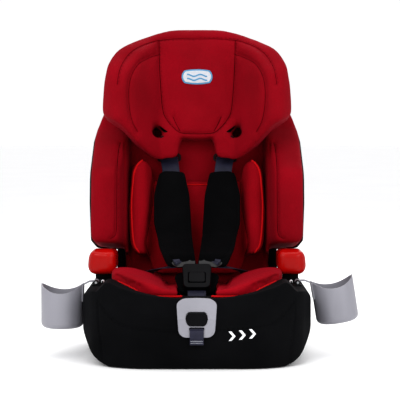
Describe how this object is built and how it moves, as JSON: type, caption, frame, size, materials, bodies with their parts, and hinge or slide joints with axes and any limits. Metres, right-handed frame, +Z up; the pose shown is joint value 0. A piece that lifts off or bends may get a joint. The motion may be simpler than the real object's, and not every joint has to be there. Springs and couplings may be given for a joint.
{
  "type": "child car seat",
  "caption": "High-back child car seat with five-point harness, sliding headrest, reclining back, swing-out cup holders and sliding anchor connectors.",
  "frame": {"origin": "middle of the base's underside, below the seat's middle plane, on the plane it stands on", "axes": "+Z up, -Y the way the seat faces, +X to the right as seen from the front"},
  "size_m": [0.6576, 0.4612, 0.6887],
  "materials": {
    "red_fabric": "knitted crimson cover",
    "black_fabric": "black knitted cover",
    "black_padding": "black soft padding",
    "webbing": "navy polyester webbing",
    "black_plastic": "textured black moulding",
    "black_gloss_plastic": "smooth black moulding",
    "red_plastic": "glossy red moulding",
    "grey_plastic": "light grey moulding",
    "steel": "zinc-plated steel",
    "painted_steel": "black powder coat",
    "grip_rubber": "matt rubber"
  },
  "bodies": {
    "base": {"base_shell": "black_plastic", "base_bottom": "black_plastic", "grip_pads": "grip_rubber", "base_screws": "steel", "seat_cover": "black_fabric", "seat_insert": "red_fabric", "recline_rod": "steel", "armrest_left": "black_plastic", "armrest_right": "black_plastic", "lap_belt_guide_left": "red_plastic", "lap_belt_guide_right": "red_plastic", "adjuster_plate": "grey_plastic", "adjuster_body": "steel", "pull_strap": "webbing", "buckle_housing": "black_gloss_plastic", "crotch_strap": "webbing", "crotch_anchor": "steel", "crotch_pad": "black_padding", "lap_strap_left": "webbing", "lap_strap_right": "webbing", "tongue_left": "steel", "tongue_right": "steel", "cup_brackets": "black_plastic", "cup_pins": "steel", "anchor_guides": "painted_steel"},
    "backrest": {"backrest_shell": "black_plastic", "back_cover": "red_fabric", "headrest_rails": "black_plastic", "rack_plate": "steel", "torso_insert": "red_fabric", "yoke_plate": "steel", "rear_pull_strap": "webbing", "slot_bezel_left": "black_plastic", "slot_bezel_right": "black_plastic", "shoulder_strap_left": "webbing", "shoulder_strap_right": "webbing", "shoulder_pad_left": "black_padding", "shoulder_pad_right": "black_padding"},
    "headrest": {"headrest_shell": "black_plastic", "headrest_cover": "red_fabric", "headrest_stem": "painted_steel", "handle_pin": "steel", "shoulder_belt_guide_left": "black_gloss_plastic", "shoulder_belt_guide_right": "black_gloss_plastic"},
    "headrest_handle": {"headrest_handle": "black_gloss_plastic"},
    "cup_holder_left": {"cup_holder_left": "grey_plastic"},
    "cup_holder_right": {"cup_holder_right": "grey_plastic"},
    "adjuster_key": {"adjuster_key": "black_gloss_plastic"},
    "buckle_button": {"buckle_button": "black_gloss_plastic"},
    "anchor_slider": {"anchor_arm_left": "painted_steel", "anchor_arm_right": "painted_steel", "cross_tube": "painted_steel", "hook_pins": "steel", "anchor_covers": "black_plastic"},
    "anchor_hook_left": {"anchor_hook_left": "steel"},
    "anchor_hook_right": {"anchor_hook_right": "steel"},
    "anchor_button_left": {"anchor_button_left": "red_plastic"},
    "anchor_button_right": {"anchor_button_right": "red_plastic"}
  },
  "joints": [
    {"name": "backrest_recline", "type": "hinge", "parent": "base", "child": "backrest", "pos_m": [0, 0.15, 0.1], "axis": [-1, 0, 0], "range_deg": [0, 15]},
    {"name": "headrest_height", "type": "slide", "parent": "backrest", "child": "headrest", "axis": [0, 0.1736, 0.9848], "range_m": [0, 0.12]},
    {"name": "headrest_handle_pull", "type": "hinge", "parent": "headrest", "child": "headrest_handle", "pos_m": [0, 0.19645, 0.59952], "axis": [-1, 0, 0], "range_deg": [0, 15], "stiffness_Nm_per_rad": 0.6, "springref_deg": -1.72},
    {"name": "cup_holder_left_fold", "type": "hinge", "parent": "base", "child": "cup_holder_left", "pos_m": [-0.208, -0.05, 0.1545], "axis": [0, 1, 0], "range_deg": [0, 45]},
    {"name": "cup_holder_right_fold", "type": "hinge", "parent": "base", "child": "cup_holder_right", "pos_m": [0.208, -0.05, 0.1545], "axis": [0, -1, 0], "range_deg": [-9, 36]},
    {"name": "adjuster_key_press", "type": "hinge", "parent": "base", "child": "adjuster_key", "pos_m": [0, -0.2195, 0.1105], "axis": [1, 0, 0], "range_deg": [0, 6], "stiffness_Nm_per_rad": 0.5, "springref_deg": -2.86},
    {"name": "buckle_button_press", "type": "slide", "parent": "base", "child": "buckle_button", "axis": [0, 0.6428, -0.766], "range_m": [0, 0.0038], "stiffness_N_per_m": 500, "springref_m": -0.002},
    {"name": "anchor_slide", "type": "slide", "parent": "base", "child": "anchor_slider", "axis": [0, 1, 0], "range_m": [0, 0.09]},
    {"name": "anchor_hook_left_turn", "type": "hinge", "parent": "anchor_slider", "child": "anchor_hook_left", "pos_m": [-0.14, 0.203, 0.053], "axis": [-1, 0, 0], "range_deg": [0, 18]},
    {"name": "anchor_button_left_slide", "type": "slide", "parent": "anchor_slider", "child": "anchor_button_left", "axis": [0, 1, 0], "range_m": [0, 0.006], "stiffness_N_per_m": 300, "springref_m": -0.002},
    {"name": "anchor_hook_right_turn", "type": "hinge", "parent": "anchor_slider", "child": "anchor_hook_right", "pos_m": [0.14, 0.203, 0.053], "axis": [-1, 0, 0], "range_deg": [0, 18]},
    {"name": "anchor_button_right_slide", "type": "slide", "parent": "anchor_slider", "child": "anchor_button_right", "axis": [0, 1, 0], "range_m": [0, 0.006], "stiffness_N_per_m": 300, "springref_m": -0.002}
  ]
}
